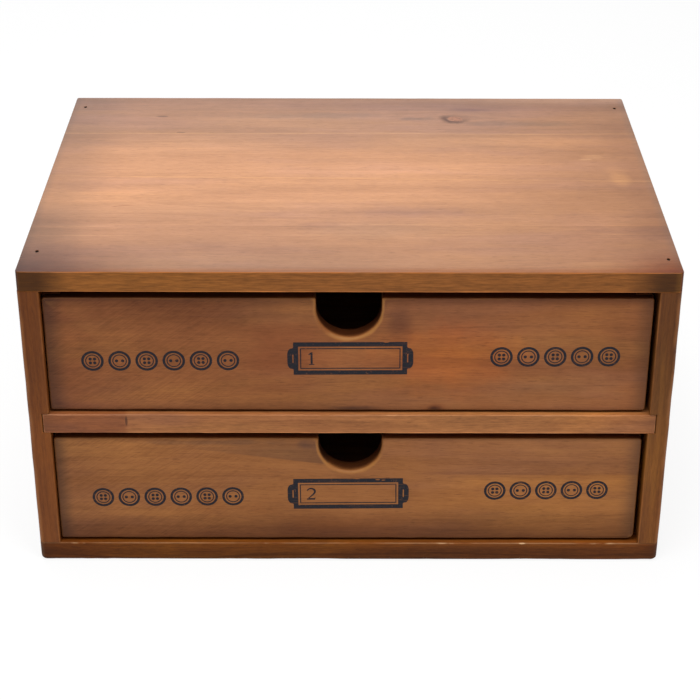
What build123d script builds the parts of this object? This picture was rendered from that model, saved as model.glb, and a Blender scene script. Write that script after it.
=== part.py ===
from build123d import *
import os

# A small table-top cabinet of stained softwood with two drawers for buttons.
# Top and base boards cap the two side boards, and a shelf let into the sides divides the
# cabinet into an upper and a lower bay. A thin plywood back closes it. Each drawer is a box
# whose front is rebated over its sides, with a plywood bottom in grooves and a round finger
# notch in the top edge of the front. All joints are glued and pinned with sunk brads.
#
# Sizes are in millimetres. The origin is in the middle of the underside, +X is to the right
# seen from the front, +Y is to the back and +Z is up. The drawers open along -Y.

# ---- cabinet ----------------------------------------------------------------------------
cabinet_width = 300.0
cabinet_depth = 218.0
cabinet_height = 156.0
top_thickness = 10.0
base_thickness = 10.0
side_thickness = 10.0
shelf_thickness = 10.0
lower_bay_height = 62.0
housing_depth = 3.5  # how deep the shelf's housing is cut into each side
housing_slack = 0.3  # the housing is this much taller than the shelf
shelf_end_gap = 0.3  # between the shelf's end and the bottom of its housing
corner_radius = 2.2  # upright outer corners, sanded after assembly
outer_arris = 1.2  # long outer edges of the top and base
arris = 0.8  # every other eased edge

# ---- back panel -------------------------------------------------------------------------
back_thickness = 3.0
back_rebate_width = 5.0
back_inset = 0.3  # how far the plywood lies inside the boards' rear edges
back_gap = 0.2  # around the plywood's edges

# ---- drawers ----------------------------------------------------------------------------
front_thickness = 9.0
drawer_side_thickness = 8.0
drawer_back_thickness = 8.0
bottom_thickness = 3.0
front_setback = 2.3  # the closed front lies this far behind the cabinet's front
front_foot_gap = 1.2  # under the front, so that only the sides slide
head_gap = 4.1  # over the drawer
running_gap = 0.2  # under the sliding sides
rear_gap = 0.3  # between a closed drawer and the back panel
side_play = 2.6  # left and right of the drawer together
front_lap = 4.0  # wood left in front of the sides' ends
groove_depth = 3.5
groove_slack = 0.2  # around the plywood bottom in its grooves
bottom_rise = 4.0  # plywood bottom's underside over the sides' lower edges
back_drop = 2.0  # the drawer's back is this much lower than its sides
front_corner = 1.5
notch_radius = 15.0
notch_shoulder = 1.0  # rounding where the notch meets the top edge
# The two notches were bored by hand. notch_drop is how far a notch's centre lies under the
# front's top edge, and notch_shift how far it lies right of the front's middle. left_gap is
# where the closed drawer stands in its bay.
drawers = {
    "upper_drawer": {"bay": "upper", "notch_drop": 5.5, "notch_shift": 0.4, "left_gap": 0.6},
    "lower_drawer": {"bay": "lower", "notch_drop": 3.5, "notch_shift": 1.2, "left_gap": 0.5},
}

# ---- brads and pins -----------------------------------------------------------------------
# They are gun brads of flat wire with a T-shaped head and a chisel point.
brad = {"length": 25.0, "wire": 1.25, "head": 2.0, "head_height": 1.0, "sunk": 0.8}
corner_brad = {"length": 18.0, "wire": 1.25, "head": 1.9, "head_height": 0.9, "sunk": 0.5}
panel_pin = {"length": 12.0, "wire": 1.1, "head": 1.8, "head_height": 0.8, "sunk": 0.1}
wire_thickness = 1.05
point_length = 1.5
hole_clearance = 0.05  # around a brad in the wood
# Where each brad of the top went in: side, end, how far inwards it missed the middle of the
# side board, and its distance from the front or back edge.
top_brad_places = [
    ("left", "front", 2.0, 21.5),
    ("right", "front", 0.2, 14.2),
    ("left", "back", 1.3, 14.4),
    ("right", "back", 1.0, 15.0),
]
base_brad_end = 18.0
shelf_brad_end = 30.0
back_pin_end = 12.0
corner_brad_end = 12.0  # from the drawer side's top and bottom edges
bottom_pin_end = 25.0  # from the drawer's inner sides

# ---- places that follow from those sizes ----------------------------------------------------
left, right = -cabinet_width / 2, cabinet_width / 2
front, rear = -cabinet_depth / 2, cabinet_depth / 2
inner_left, inner_right = left + side_thickness, right - side_thickness
left_middle, right_middle = left + side_thickness / 2, right - side_thickness / 2
top_under = cabinet_height - top_thickness
shelf_under = base_thickness + lower_bay_height
shelf_top = shelf_under + shelf_thickness
rebate_shoulder = rear - back_inset - back_thickness
bays = {"lower": (base_thickness, shelf_under), "upper": (shelf_top, top_under)}


def board(x, y, z):
    """A squared board between the given limits on each axis."""
    middle = [(low + high) / 2 for low, high in (x, y, z)]
    return Pos(*middle) * Box(x[1] - x[0], y[1] - y[0], z[1] - z[0])


def nail(kind, clearance=0.0, above=0.0):
    """A brad with its head's top at the origin, driven along -Z, with its wide side along X.
    With a clearance and a height above it is the hole that the brad leaves in the wood."""
    wire = kind["wire"] / 2 + clearance
    head = kind["head"] / 2 + clearance
    under_head = -kind["head_height"] - clearance
    tip = -kind["length"] - clearance
    half = [(head, above), (head, under_head), (wire, under_head), (wire, tip + point_length)]
    other_half = [(-x, z) for x, z in reversed(half)]
    outline = Polyline(*half, (0, tip), *other_half, close=True)
    return extrude(Plane.XZ * make_face(outline), wire_thickness / 2 + clearance, both=True)


def driven(kind, places):
    """The brads of one kind at their places, and the holes they leave. A place is the point
    where the brad enters the wood, the way it is driven and the way its wide side lies."""
    brads, holes = [], []
    for point, way, wide in places:
        entry = Plane(origin=point, x_dir=wide, z_dir=[-step for step in way])
        seat = entry.offset(-kind["sunk"])
        brads.append(seat * nail(kind))
        holes.append(seat * nail(kind, hole_clearance, kind["sunk"] + 1))
    return brads, holes


def bored(shape, *hole_sets):
    """The shape with the brads' holes in it."""
    for holes in hole_sets:
        for hole in holes:
            shape = shape - hole
    return shape


def group(shapes):
    return Compound(children=shapes)


# ---- brads and their holes in the cabinet --------------------------------------------------
def top_places():
    places = []
    for side, end, miss, inset in top_brad_places:
        x = left_middle + miss if side == "left" else right_middle - miss
        y = front + inset if end == "front" else rear - inset
        places.append(((x, y, cabinet_height), (0, 0, -1), (1, 0, 0)))
    return places


def base_places():
    return [
        ((x, y, 0), (0, 0, 1), (1, 0, 0))
        for x in (left_middle, right_middle)
        for y in (front + base_brad_end, rear - base_brad_end)
    ]


def shelf_places():
    height = shelf_under + shelf_thickness / 2
    return [
        ((x, y, height), (way, 0, 0), (0, 0, 1))
        for x, way in ((left, 1), (right, -1))
        for y in (front + shelf_brad_end, rear - shelf_brad_end)
    ]


def back_places():
    """Three pins down each side's rebate and three along the shelf."""
    face = rebate_shoulder + back_thickness
    half = cabinet_width / 2 - side_thickness + back_rebate_width / 2
    low, high = base_thickness + back_pin_end, top_under - back_pin_end
    shelf_line = shelf_under + shelf_thickness / 2
    spots = [(x, z) for x in (-half, half) for z in (low, (low + high) / 2, high)]
    spots += [(x, shelf_line) for x in (-half / 2, 0, half / 2)]
    return [((x, face, z), (0, -1, 0), (1, 0, 0)) for x, z in spots]


top_brads, top_holes = driven(brad, top_places())
base_brads, base_holes = driven(brad, base_places())
shelf_brads, shelf_holes = driven(brad, shelf_places())
back_pins, back_holes = driven(panel_pin, back_places())


# ---- cabinet boards ------------------------------------------------------------------------
def rim_at(shape, axis, place):
    """The edges whose middle lies at one place on an axis."""
    return [edge for edge in shape.edges() if abs(edge.center().dot(axis.direction) - place) < 1e-6]


def capping_board(outer, inner):
    """The top or base between its outer and inner face: full width and depth, with rounded
    corners and eased edges. The inner face is eased only along the drawers."""
    shape = board((left, right), (front, rear), sorted((outer, inner)))
    front_edges = shape.edges().filter_by(Axis.X).sort_by(Axis.Y)[:2]
    over_drawers = [edge for edge in front_edges if abs(edge.center().Z - inner) < 1e-6]
    shape = fillet(over_drawers, arris)
    shape = fillet(shape.edges().filter_by(Axis.Z), corner_radius)
    return fillet(rim_at(shape, Axis.Z, outer), outer_arris)


def side_board():
    """The left side, with the shelf's housing and the back panel's rebate."""
    shape = board((left, inner_left), (front, rear), (base_thickness, top_under))
    uprights = shape.edges().filter_by(Axis.Z).sort_by(Axis.X)
    shape = fillet(uprights[:2], corner_radius)
    uprights = shape.edges().filter_by(Axis.Z).sort_by(Axis.X)
    shape = fillet(uprights[-2:], arris)
    housing = board(
        (inner_left - housing_depth, inner_left + 1),
        (front - 1, rear + 1),
        (shelf_under, shelf_top + housing_slack),
    )
    rebate = board(
        (inner_left - back_rebate_width, inner_left + 1),
        (rebate_shoulder, rear + 1),
        (base_thickness - 1, top_under + 1),
    )
    return shape - housing - rebate


def shelf_board():
    reach = housing_depth - shelf_end_gap
    shape = board(
        (inner_left - reach, inner_right + reach),
        (front, rebate_shoulder),
        (shelf_under, shelf_top),
    )
    return fillet(rim_at(shape, Axis.Y, front), arris)


def back_panel():
    half = cabinet_width / 2 - side_thickness + back_rebate_width - back_gap
    return board(
        (-half, half),
        (rebate_shoulder, rebate_shoulder + back_thickness),
        (base_thickness + back_gap, top_under - back_gap),
    )


left_side = side_board()
right_side = mirror(left_side, about=Plane.YZ)
cabinet = {
    "top_panel": bored(capping_board(cabinet_height, top_under), top_holes),
    "base_panel": bored(capping_board(0, base_thickness), base_holes),
    "left_side_panel": bored(left_side, top_holes, base_holes, shelf_holes, back_holes),
    "right_side_panel": bored(right_side, top_holes, base_holes, shelf_holes, back_holes),
    "shelf": bored(shelf_board(), shelf_holes, back_holes),
    "back_panel": bored(back_panel(), back_holes),
    "top_brads": group(top_brads),
    "base_brads": group(base_brads),
    "shelf_brads": group(shelf_brads),
    "back_pins": group(back_pins),
}


# ---- drawers -------------------------------------------------------------------------------
def drawer_limits(bay, notch_drop, notch_shift, left_gap):
    """Where the closed drawer lies in its bay, and where its notch is."""
    floor, ceiling = bays[bay]
    width = cabinet_width - 2 * side_thickness - side_play
    return {
        "left": inner_left + left_gap,
        "right": inner_left + left_gap + width,
        "face": front + front_setback,
        "rear": rebate_shoulder - rear_gap,
        "foot": floor + running_gap,
        "front_foot": floor + front_foot_gap,
        "top": ceiling - head_gap,
        "notch_drop": notch_drop,
        "notch_shift": notch_shift,
    }


def bottom_room(at):
    """The space that the grooves leave for the plywood bottom."""
    low = at["foot"] + bottom_rise
    inset = drawer_side_thickness - groove_depth
    return board(
        (at["left"] + inset, at["right"] - inset),
        (at["face"] + front_thickness - groove_depth, at["rear"] + 1),
        (low, low + bottom_thickness + groove_slack),
    )


def drawer_front(at):
    """The front: a face with the finger notch, rebated for the sides, grooved for the bottom."""
    middle_x = (at["left"] + at["right"]) / 2
    middle_z = (at["front_foot"] + at["top"]) / 2
    width, height = at["right"] - at["left"], at["top"] - at["front_foot"]
    outline = Rectangle(width, height)
    outline = fillet(outline.vertices(), front_corner)
    middle, centre = at["notch_shift"], height / 2 - at["notch_drop"]
    notch = Pos(middle, centre) * Circle(notch_radius)
    notch += Pos(middle, centre + height / 2) * Rectangle(2 * notch_radius, height)
    outline = outline - notch
    shoulders = [
        corner
        for corner in outline.vertices()
        if abs(abs(corner.X - middle) - notch_radius) < 1e-6
        and abs(corner.Y - height / 2) < 1e-6
    ]
    outline = fillet(shoulders, notch_shoulder)
    face_plane = Plane(
        origin=(middle_x, at["face"], middle_z), x_dir=(1, 0, 0), z_dir=(0, -1, 0)
    )
    shape = extrude(face_plane * outline, -front_thickness)
    shape = fillet(rim_at(shape, Axis.Y, at["face"]), arris)
    shoulder = at["face"] + front_lap
    reach = at["face"] + front_thickness + 1
    for x in (
        (at["left"] - 1, at["left"] + drawer_side_thickness),
        (at["right"] - drawer_side_thickness, at["right"] + 1),
    ):
        shape = shape - board(x, (shoulder, reach), (at["foot"] - 1, at["top"] + 1))
    return shape - bottom_room(at)


def drawer_side(at, hand):
    """A side, from the front's rebate to the rear, with a groove for the bottom."""
    if hand == "left":
        x = (at["left"], at["left"] + drawer_side_thickness)
    else:
        x = (at["right"] - drawer_side_thickness, at["right"])
    shape = board(x, (at["face"] + front_lap, at["rear"]), (at["foot"], at["top"]))
    shape = fillet(shape.edges().filter_by(Axis.Y).sort_by(Axis.Z)[-2:], arris)
    return shape - bottom_room(at)


def drawer_back(at):
    """The back stands between the sides, on top of the plywood bottom."""
    low = at["foot"] + bottom_rise + bottom_thickness + groove_slack / 2
    shape = board(
        (at["left"] + drawer_side_thickness, at["right"] - drawer_side_thickness),
        (at["rear"] - drawer_back_thickness, at["rear"]),
        (low, at["top"] - back_drop),
    )
    top_edges = shape.faces().sort_by(Axis.Z)[-1].edges().filter_by(Axis.X)
    return fillet(top_edges, arris)


def drawer_bottom(at):
    """Plywood in the grooves of the front and sides, pinned up into the back."""
    low = at["foot"] + bottom_rise + groove_slack / 2
    inset = drawer_side_thickness - groove_depth + groove_slack
    return board(
        (at["left"] + inset, at["right"] - inset),
        (at["face"] + front_thickness - groove_depth + groove_slack, at["rear"]),
        (low, low + bottom_thickness),
    )


def corner_places(at):
    """Two brads through each side into the front's ends and two into the back's ends."""
    into_front = at["face"] + (front_lap + front_thickness) / 2
    into_back = at["rear"] - drawer_back_thickness / 2
    low = at["foot"] + bottom_rise + bottom_thickness + corner_brad_end
    high = at["top"] - back_drop - corner_brad_end
    return [
        ((x, y, z), (way, 0, 0), (0, 0, 1))
        for x, way in ((at["left"], 1), (at["right"], -1))
        for y in (into_front, into_back)
        for z in (low, high)
    ]


def bottom_places(at):
    low = at["foot"] + bottom_rise + groove_slack / 2
    first = at["left"] + drawer_side_thickness + bottom_pin_end
    last = at["right"] - drawer_side_thickness - bottom_pin_end
    y = at["rear"] - drawer_back_thickness / 2
    middle = (first + last) / 2
    return [((x, y, low), (0, 0, 1), (1, 0, 0)) for x in (first, middle, last)]


def drawer_pieces(name, at):
    """One drawer as its separate pieces, under their node names."""
    brads, corner_holes = driven(corner_brad, corner_places(at))
    pins, pin_holes = driven(panel_pin, bottom_places(at))
    return {
        name + "_front": bored(drawer_front(at), corner_holes),
        name + "_left_side": bored(drawer_side(at, "left"), corner_holes),
        name + "_right_side": bored(drawer_side(at, "right"), corner_holes),
        name + "_back": bored(drawer_back(at), corner_holes, pin_holes),
        name + "_bottom": bored(drawer_bottom(at), pin_holes),
        name + "_corner_brads": group(brads),
        name + "_bottom_pins": group(pins),
    }


# ---- write every piece to its own file -------------------------------------------------------
pieces = dict(cabinet)
for drawer_name, settings in drawers.items():
    pieces.update(drawer_pieces(drawer_name, drawer_limits(**settings)))

os.makedirs("parts", exist_ok=True)
for node, shape in pieces.items():
    export_step(shape, f"parts/{node}.step")
print(f"{len(pieces)} pieces written")
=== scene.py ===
import bpy
import bmesh
import math
import numpy as np
from mathutils import Matrix, Vector


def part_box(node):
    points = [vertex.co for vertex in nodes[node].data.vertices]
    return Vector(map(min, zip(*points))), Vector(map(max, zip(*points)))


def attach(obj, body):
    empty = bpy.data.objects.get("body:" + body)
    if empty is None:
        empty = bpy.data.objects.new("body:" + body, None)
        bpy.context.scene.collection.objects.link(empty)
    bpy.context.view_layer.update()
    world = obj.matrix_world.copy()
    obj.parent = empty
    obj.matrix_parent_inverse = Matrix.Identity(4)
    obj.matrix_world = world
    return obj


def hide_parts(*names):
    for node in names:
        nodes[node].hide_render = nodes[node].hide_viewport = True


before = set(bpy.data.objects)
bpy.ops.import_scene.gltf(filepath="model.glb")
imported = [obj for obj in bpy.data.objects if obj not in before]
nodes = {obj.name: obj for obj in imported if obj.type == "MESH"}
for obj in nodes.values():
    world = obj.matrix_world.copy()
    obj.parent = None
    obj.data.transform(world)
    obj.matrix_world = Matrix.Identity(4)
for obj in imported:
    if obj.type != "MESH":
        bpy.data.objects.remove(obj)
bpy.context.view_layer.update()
print("frame loaded:", len(nodes), "nodes")


def boxOf(node):  # a CAD node's lowest and highest corner, in millimetres
    low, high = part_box(node)
    return np.array(low) * 1000, np.array(high) * 1000


# Shader graphs. Python's operators on a Signal add Math nodes.
class Signal:
    def __init__(self, graph, socket):
        self.graph, self.socket = graph, socket

    def maths(self, operation, *values):
        return self.graph.node("ShaderNodeMath", {"operation": operation}, dict(enumerate(values)))

    def __add__(self, other):
        return self.maths("ADD", self, other)

    def __sub__(self, other):
        return self.maths("SUBTRACT", self, other)

    def __rsub__(self, other):
        return self.maths("SUBTRACT", other, self)

    def __mul__(self, other):
        return self.maths("MULTIPLY", self, other)

    def __truediv__(self, other):
        return self.maths("DIVIDE", self, other)

    def __pow__(self, other):
        return self.maths("POWER", self, other)

    def __abs__(self):
        return self.maths("ABSOLUTE", self)

    __radd__, __rmul__ = __add__, __mul__

    def atMost(self, other):
        return self.maths("MINIMUM", self, other)

    def atLeast(self, other):
        return self.maths("MAXIMUM", self, other)

    def fade(self, start, end):  # 0 at start, 1 at end, with a smooth step between
        return self.graph.node("ShaderNodeMapRange", {"interpolation_type": "SMOOTHSTEP"},
                               {"Value": self, "From Min": start, "From Max": end})


class Graph:
    def __init__(self, tree):
        self.tree = tree

    def node(self, kind, settings=None, inputs=None, output=0):
        made = self.tree.nodes.new(kind)
        for name, value in (settings or {}).items():
            setattr(made, name, value)
        for key, value in (inputs or {}).items():
            self.feed(made.inputs[key], value)
        return Signal(self, made.outputs[output])

    def feed(self, socket, value):
        if isinstance(value, Signal):
            self.tree.links.new(value.socket, socket)
        else:
            socket.default_value = value

    def vector(self, operation, *values):
        return self.node("ShaderNodeVectorMath", {"operation": operation}, dict(enumerate(values)))

    def blend(self, first, second, share):  # a mix of two colours
        return self.node("ShaderNodeMix", {"data_type": "RGBA"},
                         {0: share, 6: asColour(first), 7: asColour(second)}, output=2)

    def shaded(self, colour, value):  # a colour times a number that varies
        grey = self.node("ShaderNodeCombineXYZ", None, {0: value, 1: value, 2: value})
        return self.vector("MULTIPLY", colour, grey)

    def place(self):  # the piece's own coordinates, in millimetres
        spot = self.node("ShaderNodeTexCoord", output=3)
        return self.vector("MULTIPLY", spot, (1000, 1000, 1000))

    def parts(self, vector):
        split = self.tree.nodes.new("ShaderNodeSeparateXYZ")
        self.feed(split.inputs[0], vector)
        return [Signal(self, socket) for socket in split.outputs]

    def joined(self, x, y, z):
        return self.node("ShaderNodeCombineXYZ", None, {0: x, 1: y, 2: z})

    def noise(self, vector, stretch, detail=2.0, rough=0.5):
        spot = self.vector("MULTIPLY", vector, stretch)
        return self.node("ShaderNodeTexNoise", None,
                         {"Vector": spot, "Scale": 1.0, "Detail": detail, "Roughness": rough})


class MaterialGraph(Graph):
    def __init__(self, name):
        self.material = bpy.data.materials.new(name)
        self.material.use_nodes = True
        super().__init__(self.material.node_tree)

    def finish(self, constants, varying):
        sockets = self.tree.nodes["Principled BSDF"].inputs
        for name, value in constants.items():
            sockets[name].default_value = value
        for name, value in varying.items():
            self.feed(sockets[name], value)
        return self.material


def addObject(name, data):
    made = bpy.data.objects.new(name, data)
    bpy.context.scene.collection.objects.link(made)
    return made


def asColour(value):
    return (*value, 1.0) if isinstance(value, tuple) and len(value) == 3 else value


# Camera: the photograph's, worked out from the cabinet's corners.
camera = {"lens": 94.745, "sensor": 36.0, "place": (-0.00066, -0.84914, 0.51941),
          "yaw": 0.0704, "pitch": 28.5581, "roll": 0.1347}


def addCamera():
    data = bpy.data.cameras.new("camera")
    data.lens, data.sensor_width = camera["lens"], camera["sensor"]
    data.clip_start, data.clip_end = 0.05, 20
    yaw, pitch, roll = (math.radians(camera[key]) for key in ("yaw", "pitch", "roll"))
    ahead = Vector((math.sin(yaw) * math.cos(pitch), math.cos(yaw) * math.cos(pitch), -math.sin(pitch)))
    right = Vector((math.cos(yaw), -math.sin(yaw), 0))
    up = right.cross(ahead)
    turnedRight = right * math.cos(roll) + up * math.sin(roll)
    turnedUp = up * math.cos(roll) - right * math.sin(roll)
    made = addObject("camera", data)
    axes = Matrix((turnedRight, turnedUp, -ahead)).transposed()
    made.matrix_world = Matrix.Translation(camera["place"]) @ axes.to_4x4()
    bpy.context.scene.camera = made


# Soft lamps: one behind that the top mirrors, one overhead and two high in front. A pale
# floor sends light up to the fronts.
lamps = {
    "backSoftbox": {"place": (-0.18, 0.92, 0.72), "size": (0.8, 0.55), "watts": 2.6, "aim": (0, 0, 0.15)},
    "overhead": {"place": (-0.12, 0.0, 1.35), "size": (0.7, 0.6), "watts": 9.0, "aim": (-0.02, 0, 0.15)},
    "frontLeft": {"place": (-0.4, -0.72, 1.5), "size": (0.7, 0.5), "watts": 10.5, "aim": (0, -0.1, 0.1)},
    "frontRight": {"place": (0.55, -0.72, 1.4), "size": (0.6, 0.5), "watts": 9.5, "aim": (0, -0.1, 0.1)},
}
surround = {"ambient": 0.24, "floorGrey": 0.72, "floorPale": 0.9, "floorShine": 0.86,
            "floorSize": 6.0, "floorDrop": 0.0002}


def addLight():
    for name, lamp in lamps.items():
        data = bpy.data.lights.new(name, "AREA")
        data.shape, data.energy = "RECTANGLE", lamp["watts"]
        data.size, data.size_y = lamp["size"]
        made = addObject(name, data)
        made.location = lamp["place"]
        made.rotation_euler = (Vector(lamp["aim"]) - made.location).to_track_quat("-Z", "Y").to_euler()
        made.visible_camera = False
    world = bpy.data.worlds.new("studio")
    world.use_nodes = True
    bpy.context.scene.world = world
    tree = world.node_tree
    tree.nodes.clear()
    graph = Graph(tree)
    seen = seenRay(graph)
    soft, white = (graph.node("ShaderNodeBackground", None, {"Color": (1, 1, 1, 1), "Strength": strength})
                   for strength in (surround["ambient"], 1.0))
    mixed = graph.node("ShaderNodeMixShader", None, {0: seen, 1: soft, 2: white})
    out = tree.nodes.new("ShaderNodeOutputWorld")
    tree.links.new(mixed.socket, out.inputs["Surface"])


def seenRay(graph):  # 1 for camera, glossy and transmission rays
    rays = graph.tree.nodes.new("ShaderNodeLightPath")
    names = ("Is Camera Ray", "Is Glossy Ray", "Is Transmission Ray")
    camera, glossy, through = (Signal(graph, rays.outputs[name]) for name in names)
    return camera.atLeast(glossy).atLeast(through)


def addFloor():
    half = surround["floorSize"] / 2
    mesh = bpy.data.meshes.new("floor")
    mesh.from_pydata([(-half, -half, 0), (half, -half, 0), (half, half, 0), (-half, half, 0)],
                     [], [(0, 1, 2, 3)])
    mesh.transform(Matrix.Translation((0, 0, -surround["floorDrop"])))
    floor = addObject("floor", mesh)
    graph = MaterialGraph("palePaper")
    dull, pale = (graph.node("ShaderNodeBsdfDiffuse", None, {"Color": (grey, grey, grey, 1)})
                  for grey in (surround["floorGrey"], surround["floorPale"]))
    white = graph.node("ShaderNodeEmission", None, {"Color": (1, 1, 1, 1), "Strength": 1.0})
    lit = graph.node("ShaderNodeMixShader", None, {0: surround["floorShine"], 1: pale, 2: white})
    both = graph.node("ShaderNodeMixShader", None, {0: seenRay(graph), 1: dull, 2: lit})
    graph.tree.links.new(both.socket, graph.tree.nodes["Material Output"].inputs["Surface"])
    mesh.materials.append(graph.material)


addCamera()
addLight()
addFloor()
print("camera, lamps and floor are in place")


# Wood. Every look is a set of these values, with its own changes. Colours are linear.
woodLook = {
    "grain": "x",  # the axis that the fibres follow
    "seed": (0, 0, 0),
    "pith": (0, -70),  # the tree's heart line, on the two axes across the grain
    "ringWidth": 3.1,
    "rings": 0.30,  # how much the growth rings show
    "staves": None,  # (first joint, width) across the grain, where a board is glued up
    "wave": 7.0,  # how far the grain wanders, in mm
    "light": (0.36, 0.135, 0.038),
    "dark": (0.16, 0.048, 0.011),
    "mauve": (0.20, 0.078, 0.042),
    "amber": (0.37, 0.15, 0.036),
    "drift": 0.6,  # how much the stain's hue drifts
    "bands": 0.8,
    "fibre": 1.0,
    "mottle": 0.55,
    "pores": 0.3,
    "edge": None,  # (axis, middle, half width, reach, darkening) for each pair of edges
    "edgeTint": (0.075, 0.024, 0.008),
    "arris": (0.40, 0.165, 0.045),
    "arrisShow": 0.45,
    "hole": (0.012, 0.006, 0.004),
    "rough": (0.42, 0.54),
    "shine": 0.24,
    "bump": 0.14,
    "marks": (),
}


# Growth rings: the distance from the pith, bent by slow noise, in steps of the ring width.
# Within a ring the wood darkens slowly and then turns light again at once.
def lateWood(graph, spot, look):
    along, across, through = graph.parts(spot)
    side, deep = look["pith"]
    slow = graph.noise(spot, (0.0035, 0.014, 0.014), 2.0) - 0.5
    other = graph.noise(graph.vector("ADD", spot, (57, 91, 13)), (0.003, 0.01, 0.01), 2.0) - 0.5
    if look["staves"]:
        first, width = look["staves"]
        share = (across - first) / width
        across = share.maths("FRACT", share) * width - width / 2
    reach = (across - side + slow * (look["wave"] * 2.4), through - deep + other * (look["wave"] * 2.4))
    far = (reach[0] * reach[0] + reach[1] * reach[1]) ** 0.5
    uneven = graph.noise(graph.joined(far, along * 0.015, 0.0), (0.23, 0.23, 0.23), 3.0) * 3.2
    turns = far / look["ringWidth"] + uneven
    phase = turns.maths("FRACT", turns)
    return phase.fade(0.3, 0.9) - phase.fade(0.92, 1.0)


# Wood colour: rings, bands, fibres and short dashes follow the grain, the stain's clouds and
# its drifts to mauve and amber are rounder, and edges and arrises are tinted by distance. The
# fibres and dashes also raise a fine relief.
def woodColour(graph, spot, look):
    x, y, z = graph.parts(spot)
    along, across, through = {"x": (x, y, z), "y": (y, x, z), "z": (z, x, y)}[look["grain"]]
    bent = graph.joined(along, across, through)
    for mark in look["marks"]:
        if "bend" in mark:
            bent = mark["bend"](graph, spot, bent)
    place = graph.vector("ADD", bent, look["seed"])
    if look["staves"]:  # every stave has its own stretch of the pattern
        first, width = look["staves"]
        count = ((across - first) / width).maths("FLOOR", (across - first) / width)
        place = graph.vector("ADD", place, graph.joined(count * 173.0, 0.0, count * 41.0))
    wander = (graph.noise(place, (0.006, 0.025, 0.025), 2.0) - 0.5) * look["wave"]
    place = graph.vector("ADD", place, graph.joined(0.0, wander, wander))
    bands = graph.noise(place, (0.0024, 0.12, 0.12), 3.0, 0.6)
    fibres = graph.noise(place, (0.03, 2.4, 2.4), 2.0, 0.6)
    dashes = graph.noise(place, (0.2, 1.4, 1.4), 3.0, 0.65)
    clouds = graph.noise(place, (0.009, 0.026, 0.026), 3.0, 0.6)
    spots = graph.noise(place, (0.06, 0.12, 0.12), 4.0, 0.65)
    late = lateWood(graph, bent, look) * clouds.fade(0.25, 0.75)
    figure = ((bands - 0.5) * (1.5 * look["bands"]) + (dashes - 0.5) * (1.05 * look["fibre"])
              + (fibres - 0.5) * (0.8 * look["fibre"]) + (clouds - 0.5) * (1.5 * look["mottle"])
              + (spots - 0.5) * (0.9 * look["mottle"]) - late * look["rings"] + 0.55)
    for mark in look["marks"]:
        if "tone" in mark:
            figure = mark["tone"](graph, spot, figure)
    colour = graph.blend(look["dark"], look["light"], figure.fade(-0.1, 1.1))
    hues = {"mauve": (91, 37, 53), "amber": (13, 71, 29)}
    for hue, offset in hues.items():
        drift = graph.noise(graph.vector("ADD", place, offset), (0.008, 0.038, 0.038), 3.0, 0.6)
        toned = graph.shaded(look[hue], figure * 0.9 + 0.55)
        colour = graph.blend(colour, toned, drift.fade(0.44, 0.68) * look["drift"])
    pores = graph.noise(place, (0.2, 2.1, 2.1), 1.0).fade(0.60, 0.74) * look["pores"]
    colour = graph.blend(colour, look["edgeTint"], pores)
    for mark in look["marks"]:
        if "paint" in mark:
            colour = mark["paint"](graph, spot, place, colour)
    # darkening toward a board's edges: on the drawer fronts this is painted shade from the side boards and
    # the gaps, on the top partly painted shade where the sheen falls off
    if look["edge"]:
        ragged = (spots - 0.5) * 5 + (clouds - 0.5) * 6
        for axis, middle, half, reach, darkening in look["edge"]:
            away = abs(graph.parts(spot)[axis] - middle) + ragged * min(reach / 12, 1.0)
            shade = away.fade(half - reach, half + 0.5)
            colour = graph.blend(colour, look["edgeTint"], shade * shade * darkening)
    # arrises are blended toward a lighter colour: partly rubbed-off stain, partly a painted highlight where
    # the rounded edge catches the light
    arris = graph.node("ShaderNodeAttribute", {"attribute_name": "arris"}, output=2)
    patchy = graph.noise(place, (0.05, 0.08, 0.08), 3.0).fade(0.32, 0.6)
    shown = (arris * patchy * look["arrisShow"]).atLeast(0.0).atMost(1.0)
    colour = graph.blend(colour, look["arris"], shown)
    # the brad pits are painted nearly black: painted shade in the recess
    colour = graph.blend(colour, look["hole"], (arris * -2.0).atLeast(0.0).atMost(1.0))
    relief = graph.node("ShaderNodeBump", None,
                        {"Strength": look["bump"], "Distance": 0.0004, "Height": fibres + dashes})
    return colour, relief, fibres, dashes


def woodMaterial(name, **changes):
    look = {**woodLook, **changes}
    graph = MaterialGraph(name)
    colour, relief, fibres, dashes = woodColour(graph, graph.place(), look)
    smooth, dull = look["rough"]
    rough = smooth + dashes * (dull - smooth)
    return graph.finish({"IOR": 1.5, "Specular IOR Level": look["shine"]},
                        {"Base Color": colour, "Roughness": rough, "Normal": relief})


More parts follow.
